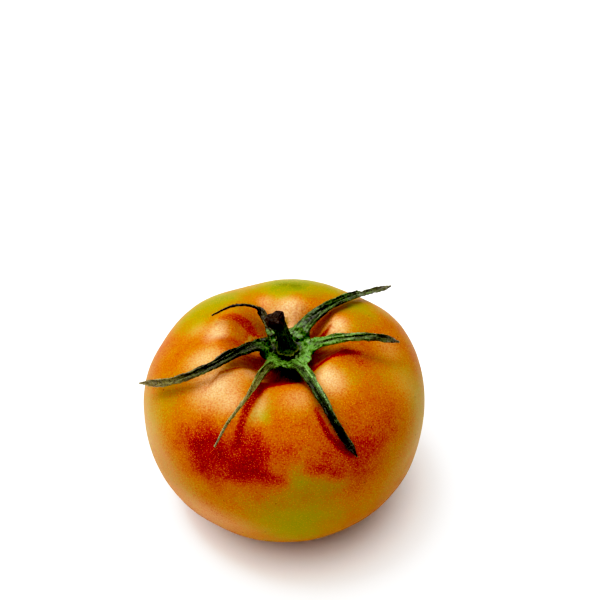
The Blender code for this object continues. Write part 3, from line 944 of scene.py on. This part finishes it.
def make_skin_material():
    """Tomato skin, grown: a thin waxy cuticle over wet flesh.

    The cuticle gives faint satin lights and pale edges, and the flesh lends its colour to the shadows. The
    broad pale lights on the lobes are painted highlights, the pale flanks are painted reflections, the deep
    red under the sepals is painted shade, and so is the dark brown deep in the hollow. The skin cells ripen
    one by one, so one colour runs into the next in fine stipples.
    """
    material, shader = new_material("tomato_cuticle")
    place = add_node(material, "ShaderNodeTexCoord").outputs["Object"]
    ripe, painted_highlight, hollow, cork, scar = [
        add_node(material, "ShaderNodeAttribute", {"attribute_name": name}).outputs["Fac"]
        for name in ("ripeness_and_painted_shade", "painted_highlight", "hollow", "cork", "scar")
    ]
    # cloudy patches about 4 mm across
    clouds = add_node(material, "ShaderNodeTexNoise", {}, {
        "Vector": place, "Scale": per_mm(4), "Detail": 3, "Roughness": 0.6,
    }).outputs[0]
    # stipples; single cells of 0.1 mm would not show, so they are drawn 0.4 mm across
    stipples = add_node(material, "ShaderNodeTexNoise", {}, {
        "Vector": place, "Scale": per_mm(0.4), "Detail": 1.5, "Roughness": 0.5,
    }).outputs[0]
    for pattern, weight in ((clouds, 0.24), (stipples, 0.66)):
        ripe = add_node(material, "ShaderNodeMath", {"operation": "MULTIPLY_ADD"}, {
            0: pattern, 1: weight, 2: ripe,
        }).outputs[0]
    ripe = add_node(material, "ShaderNodeMath", {"operation": "SUBTRACT"}, {0: ripe, 1: 0.45}).outputs[0]
    colour = linear("686a12")
    for start, end, stage in (
        (-0.34, 0.02, "7f8214"),
        (0.05, 0.22, "918310"),
        (0.22, 0.40, "9b760e"),
        (0.40, 0.56, "a5660d"),
        (0.56, 0.72, "9e4e0a"),
        (0.72, 0.86, "913208"),
        (0.86, 1.02, "7c1407"),
    ):
        reached = add_node(material, "ShaderNodeMapRange", {"interpolation_type": "SMOOTHSTEP"}, {
            "Value": ripe, "From Min": start, "From Max": end,
        }).outputs[0]
        colour = add_node(material, "ShaderNodeMix", {"data_type": "RGBA"}, {
            0: reached, 6: colour, 7: linear(stage),
        }).outputs[2]
    # painted highlights: a pale veil over the lobes' colour, broken by the stipples so that it is thinner
    # over the riper cells
    painted_highlight_veil = add_node(material, "ShaderNodeMapRange", {}, {
        "Value": stipples, "From Min": 0.40, "From Max": 0.62, "To Min": 0.92, "To Max": 0.58,
    }).outputs[0]
    painted_highlight_veil = add_node(material, "ShaderNodeMath", {"operation": "MULTIPLY"}, {0: painted_highlight, 1: painted_highlight_veil}).outputs[0]
    painted_highlight_veil = add_node(material, "ShaderNodeMath", {"operation": "MINIMUM"}, {0: painted_highlight_veil, 1: 1.0}).outputs[0]
    # painted shade: dull dark brown deep in the hollow's front, under the calyx
    deep = add_node(material, "ShaderNodeMath", {"operation": "MULTIPLY"}, {0: hollow, 1: 0.92}).outputs[0]
    # pale pores, 0.45 mm apart
    pores = add_node(material, "ShaderNodeTexVoronoi", {"feature": "F1"}, {
        "Vector": place, "Scale": per_mm(0.45),
    }).outputs["Distance"]
    pale = add_node(material, "ShaderNodeMapRange", {}, {
        "Value": pores, "From Min": 0.10, "From Max": 0.31, "To Min": 0.62, "To Max": 0,
    }).outputs[0]
    # scattered brown specks, 4 mm apart
    specks = add_node(material, "ShaderNodeTexVoronoi", {"feature": "F1"}, {
        "Vector": place, "Scale": per_mm(4),
    }).outputs["Distance"]
    speck = add_node(material, "ShaderNodeMapRange", {}, {
        "Value": specks, "From Min": 0.03, "From Max": 0.07, "To Min": 0.7, "To Max": 0,
    }).outputs[0]
    # dry cork, cracked into plates of about 1 mm
    plates = add_node(material, "ShaderNodeTexNoise", {}, {
        "Vector": place, "Scale": per_mm(1.1), "Detail": 4, "Roughness": 0.7,
    }).outputs[0]
    corky = add_node(material, "ShaderNodeMath", {"operation": "MULTIPLY"}, {0: plates, 1: cork}).outputs[0]
    corky = add_node(material, "ShaderNodeMapRange", {"interpolation_type": "SMOOTHSTEP"}, {
        "Value": corky, "From Min": 0.34, "From Max": 0.52,
    }).outputs[0]
    corky = add_node(material, "ShaderNodeMath", {"operation": "MAXIMUM"}, {0: corky, 1: scar}).outputs[0]
    # the painted highlight's pale and the painted shade's dark brown are mixed in here with the real pores,
    # specks and cork
    for share, tint in (
        (painted_highlight_veil, "dcb288"),
        (deep, "3a140b"),
        (pale, "d29a40"),
        (speck, "5a2a0c"),
        (corky, "a3824a"),
    ):
        colour = add_node(material, "ShaderNodeMix", {"data_type": "RGBA"}, {
            0: share, 6: colour, 7: linear(tint),
        }).outputs[2]
    roughness = add_node(material, "ShaderNodeMapRange", {}, {
        "Value": corky, "To Min": 0.45, "To Max": 0.85,
    }).outputs[0]
    bump = add_node(material, "ShaderNodeBump", {}, {
        "Height": stipples, "Strength": 0.5, "Distance": 0.05 * MM,
    }).outputs[0]
    links = material.node_tree.links
    links.new(colour, shader.inputs["Base Color"])
    links.new(roughness, shader.inputs["Roughness"])
    links.new(bump, shader.inputs["Normal"])
    shader.inputs["IOR"].default_value = 1.43
    shader.inputs["Specular IOR Level"].default_value = 0.13
    shader.inputs["Subsurface Weight"].default_value = 0.25
    shader.inputs["Subsurface Radius"].default_value = (1.0, 0.25, 0.08)
    shader.inputs["Subsurface Scale"].default_value = 1.5 * MM
    return material


def make_leaf_material():
    """Tomato sepal, a thick living leaf that is drying: green flesh under a fine grey down.

    The down gives a dull pale bloom, the veins run as dark and light strands from root to tip, and what
    has dried is brown to black. Painted shade darkens the midrib's groove, one half of a folded sepal and
    the dish round the stem's foot.
    """
    material, shader = new_material("drying_sepal")
    place = add_node(material, "ShaderNodeTexCoord").outputs["Object"]
    dryness_and_painted_shade, bloom, disc, groove, straw = [
        add_node(material, "ShaderNodeAttribute", {"attribute_name": name}).outputs["Fac"]
        for name in ("dryness", "bloom", "disc", "groove", "straw")
    ]
    strand = add_node(material, "ShaderNodeAttribute", {"attribute_name": "strand"}).outputs["Vector"]
    # veins: strands 4 mm long and 0.35 mm wide
    stretched = add_node(material, "ShaderNodeVectorMath", {"operation": "MULTIPLY"}, {
        0: strand, 1: (per_mm(4), per_mm(0.35), per_mm(1)),
    }).outputs[0]
    veins = add_node(material, "ShaderNodeTexNoise", {}, {
        "Vector": stretched, "Scale": 1, "Detail": 3, "Roughness": 0.65,
    }).outputs[0]
    # blotches 1.2 mm across
    blotches = add_node(material, "ShaderNodeTexNoise", {}, {
        "Vector": place, "Scale": per_mm(1.2), "Detail": 4, "Roughness": 0.7,
    }).outputs[0]
    # the groove's share is painted shade along the midrib
    for pattern, weight in ((blotches, 1.0), (veins, 1.5), (groove, 0.55)):
        dryness_and_painted_shade = add_node(material, "ShaderNodeMath", {"operation": "MULTIPLY_ADD"}, {
            0: pattern, 1: weight, 2: dryness_and_painted_shade,
        }).outputs[0]
    dryness_and_painted_shade = add_node(material, "ShaderNodeMath", {"operation": "SUBTRACT"}, {0: dryness_and_painted_shade, 1: 1.25}).outputs[0]
    colour = linear("6b9a44")
    for start, end, stage in (
        (0.00, 0.25, "52702f"),
        (0.25, 0.45, "39481f"),
        (0.45, 0.65, "22220f"),
        (0.65, 0.90, "100b07"),
    ):
        reached = add_node(material, "ShaderNodeMapRange", {}, {
            "Value": dryness_and_painted_shade, "From Min": start, "From Max": end,
        }).outputs[0]
        colour = add_node(material, "ShaderNodeMix", {"data_type": "RGBA"}, {
            0: reached, 6: colour, 7: linear(stage),
        }).outputs[2]
    # straw brown strands, a pale bloom of down, and the fresh green of the disc
    tanned = add_node(material, "ShaderNodeMapRange", {"interpolation_type": "SMOOTHSTEP"}, {
        "Value": veins, "From Min": 0.42, "From Max": 0.58, "To Min": 1, "To Max": 0.35,
    }).outputs[0]
    tanned = add_node(material, "ShaderNodeMath", {"operation": "MULTIPLY"}, {
        0: tanned, 1: straw,
    }).outputs[0]
    pale = add_node(material, "ShaderNodeMapRange", {"interpolation_type": "SMOOTHSTEP"}, {
        "Value": veins, "From Min": 0.40, "From Max": 0.56, "To Min": 0.8, "To Max": 0,
    }).outputs[0]
    pale = add_node(material, "ShaderNodeMath", {"operation": "MULTIPLY"}, {0: pale, 1: bloom}).outputs[0]
    fresh = add_node(material, "ShaderNodeMapRange", {"interpolation_type": "SMOOTHSTEP"}, {
        "Value": blotches, "From Min": 0.54, "From Max": 0.42, "To Min": 0, "To Max": 0.8,
    }).outputs[0]
    fresh = add_node(material, "ShaderNodeMath", {"operation": "MULTIPLY"}, {0: fresh, 1: disc}).outputs[0]
    # dead flecks 0.5 mm across
    flecks = add_node(material, "ShaderNodeTexNoise", {}, {
        "Vector": place, "Scale": per_mm(0.5), "Detail": 2, "Roughness": 0.6,
    }).outputs[0]
    dead = add_node(material, "ShaderNodeMapRange", {"interpolation_type": "SMOOTHSTEP"}, {
        "Value": flecks, "From Min": 0.52, "From Max": 0.64, "To Min": 0, "To Max": 0.75,
    }).outputs[0]
    for share, tint in (
        (tanned, "94804a"),
        (pale, "88a068"),
        (fresh, "628a3e"),
        (dead, "1e1a0c"),
    ):
        colour = add_node(material, "ShaderNodeMix", {"data_type": "RGBA"}, {
            0: share, 6: colour, 7: linear(tint),
        }).outputs[2]
    height = add_node(material, "ShaderNodeMath", {"operation": "ADD"}, {0: veins, 1: blotches}).outputs[0]
    bump = add_node(material, "ShaderNodeBump", {}, {
        "Height": height, "Strength": 0.7, "Distance": 0.12 * MM,
    }).outputs[0]
    links = material.node_tree.links
    links.new(colour, shader.inputs["Base Color"])
    links.new(bump, shader.inputs["Normal"])
    shader.inputs["Roughness"].default_value = 0.42
    shader.inputs["Sheen Weight"].default_value = 0.12
    shader.inputs["Sheen Roughness"].default_value = 0.5
    return material


def make_hair_material():
    """Plant hair, a clear fibre full of air: it looks whitish green and dull."""
    material, shader = new_material("plant_hair")
    place = add_node(material, "ShaderNodeTexCoord").outputs["Object"]
    tone = add_node(material, "ShaderNodeTexNoise", {}, {"Vector": place, "Scale": per_mm(2)}).outputs[0]
    colour = add_node(material, "ShaderNodeMix", {"data_type": "RGBA"}, {
        0: tone, 6: linear("6f7a4c"), 7: linear("b8bd98"),
    }).outputs[2]
    material.node_tree.links.new(colour, shader.inputs["Base Color"])
    shader.inputs["Roughness"].default_value = 0.6
    return material


def make_stem_material():
    """Tomato stem, a juicy green stalk with a corky knuckle: dark green and dull, brown where it broke."""
    material, shader = new_material("corky_stem")
    place = add_node(material, "ShaderNodeTexCoord").outputs["Object"]
    knuckle, ring, broken = [
        add_node(material, "ShaderNodeAttribute", {"attribute_name": name}).outputs["Fac"]
        for name in ("knuckle", "foot_ring", "break_face")
    ]
    # strands up the stem, 0.4 mm wide and 3 mm long
    stretched = add_node(material, "ShaderNodeVectorMath", {"operation": "MULTIPLY"}, {
        0: place, 1: (per_mm(0.4), per_mm(0.4), per_mm(3)),
    }).outputs[0]
    strands = add_node(material, "ShaderNodeTexNoise", {}, {
        "Vector": stretched, "Scale": 1, "Detail": 3, "Roughness": 0.6,
    }).outputs[0]
    # blotches of cork, 1.3 mm across
    blotches = add_node(material, "ShaderNodeTexNoise", {}, {
        "Vector": place, "Scale": per_mm(1.3), "Detail": 4, "Roughness": 0.7,
    }).outputs[0]
    green = add_node(material, "ShaderNodeMapRange", {}, {
        "Value": strands, "From Min": 0.35, "From Max": 0.7,
    }).outputs[0]
    colour = add_node(material, "ShaderNodeMix", {"data_type": "RGBA"}, {
        0: green, 6: linear("2b2414"), 7: linear("5e7038"),
    }).outputs[2]
    brown = add_node(material, "ShaderNodeMapRange", {}, {
        "Value": blotches, "From Min": 0.35, "From Max": 0.65,
    }).outputs[0]
    cork = add_node(material, "ShaderNodeMix", {"data_type": "RGBA"}, {
        0: brown, 6: linear("140c07"), 7: linear("372213"),
    }).outputs[2]
    # the ring round the stem's foot is drawn pale where the cork blotches are
    pale_ring = add_node(material, "ShaderNodeMath", {"operation": "MULTIPLY"}, {0: ring, 1: brown}).outputs[0]
    for share, tint in ((knuckle, cork), (broken, linear("2c1b0f")), (pale_ring, linear("9a9668"))):
        colour = add_node(material, "ShaderNodeMix", {"data_type": "RGBA"}, {
            0: share, 6: colour, 7: tint,
        }).outputs[2]
    bump = add_node(material, "ShaderNodeBump", {}, {
        "Height": strands, "Strength": 0.6, "Distance": 0.12 * MM,
    }).outputs[0]
    links = material.node_tree.links
    links.new(colour, shader.inputs["Base Color"])
    links.new(bump, shader.inputs["Normal"])
    shader.inputs["Roughness"].default_value = 0.55
    return material


def build_floor():
    """A plain white studio sheet, matt, with a tone that wanders by less than the eye notices."""
    material, shader = new_material("white_paper")
    place = add_node(material, "ShaderNodeTexCoord").outputs["Object"]
    tone = add_node(material, "ShaderNodeTexNoise", {}, {"Vector": place, "Scale": per_mm(300)}).outputs[0]
    colour = add_node(material, "ShaderNodeMix", {"data_type": "RGBA"}, {
        0: tone, 6: linear("f4f4f4"), 7: linear("f8f8f7"),
    }).outputs[2]
    material.node_tree.links.new(colour, shader.inputs["Base Color"])
    shader.inputs["Roughness"].default_value = 0.8
    shader.inputs["Specular IOR Level"].default_value = 0.1
    shape = bmesh.new()
    bmesh.ops.create_grid(shape, x_segments=FLOOR_CELLS, y_segments=FLOOR_CELLS, size=FLOOR_HALF_SIZE)
    mesh = bpy.data.meshes.new("floor")
    shape.to_mesh(mesh)
    shape.free()
    mesh.materials.append(material)
    floor = bpy.data.objects.new("floor", mesh)
    floor.location.z = -FLOOR_DROP
    bpy.context.scene.collection.objects.link(floor)


def set_up_light():
    """One soft lamp overhead, a little to the left and behind, in a pale room with a bright ceiling."""
    lamp = bpy.data.lights.new("overhead_softbox", "AREA")
    lamp.shape = "DISK"
    lamp.size = LAMP_SIZE
    lamp.energy = LAMP_POWER
    holder = bpy.data.objects.new("overhead_softbox", lamp)
    holder.location = LAMP_PLACE
    holder.rotation_euler = (FRUIT_MIDDLE - LAMP_PLACE).to_track_quat("-Z", "Y").to_euler()
    bpy.context.scene.collection.objects.link(holder)
    room = bpy.data.worlds.new("pale_room")
    room.use_nodes = True
    bpy.context.scene.world = room
    edge_start, edge_end = CEILING_EDGE
    way = add_node(room, "ShaderNodeTexCoord").outputs["Generated"]
    upward = add_node(room, "ShaderNodeVectorMath", {"operation": "DOT_PRODUCT"}, {0: way, 1: CEILING_WAY})
    brightness = add_node(room, "ShaderNodeMapRange", {"interpolation_type": "SMOOTHSTEP"}, {
        "Value": upward.outputs["Value"], "From Min": edge_start, "From Max": edge_end,
        "To Min": WALL_BRIGHTNESS, "To Max": CEILING_BRIGHTNESS,
    }).outputs[0]
    background = room.node_tree.nodes["Background"]
    room.node_tree.links.new(brightness, background.inputs["Strength"])
    background.inputs["Color"].default_value = linear("ffffff")


def set_up_camera():
    camera = bpy.data.cameras.new("camera")
    camera.sensor_width = CAMERA_SENSOR
    camera.lens = CAMERA_LENS
    camera.clip_start = CAMERA_NEAREST
    holder = bpy.data.objects.new("camera", camera)
    holder.location = CAMERA_PLACE
    holder.rotation_euler = (math.radians(CAMERA_TILT), 0, 0)
    bpy.context.scene.collection.objects.link(holder)
    bpy.context.scene.camera = holder


def set_up_contrast():
    """Firm contrast, as a catalogue picture is developed: deep shade, clean white ground."""
    view = bpy.context.scene.view_settings
    view.view_transform = "Standard"
    view.use_curve_mapping = True
    curve = view.curve_mapping.curves[SHARED_CURVE]
    for light_in, light_out in CONTRAST:
        curve.points.new(light_in, light_out)
    view.curve_mapping.update()


def main():
    blades = {name: sepal_rows(sepal) for name, sepal in SEPALS.items()}
    build_fruit()
    calyx_mesh = build_calyx(blades)
    build_hairs(calyx_mesh)
    build_stem()
    build_floor()
    set_up_light()
    set_up_camera()
    set_up_contrast()


main()
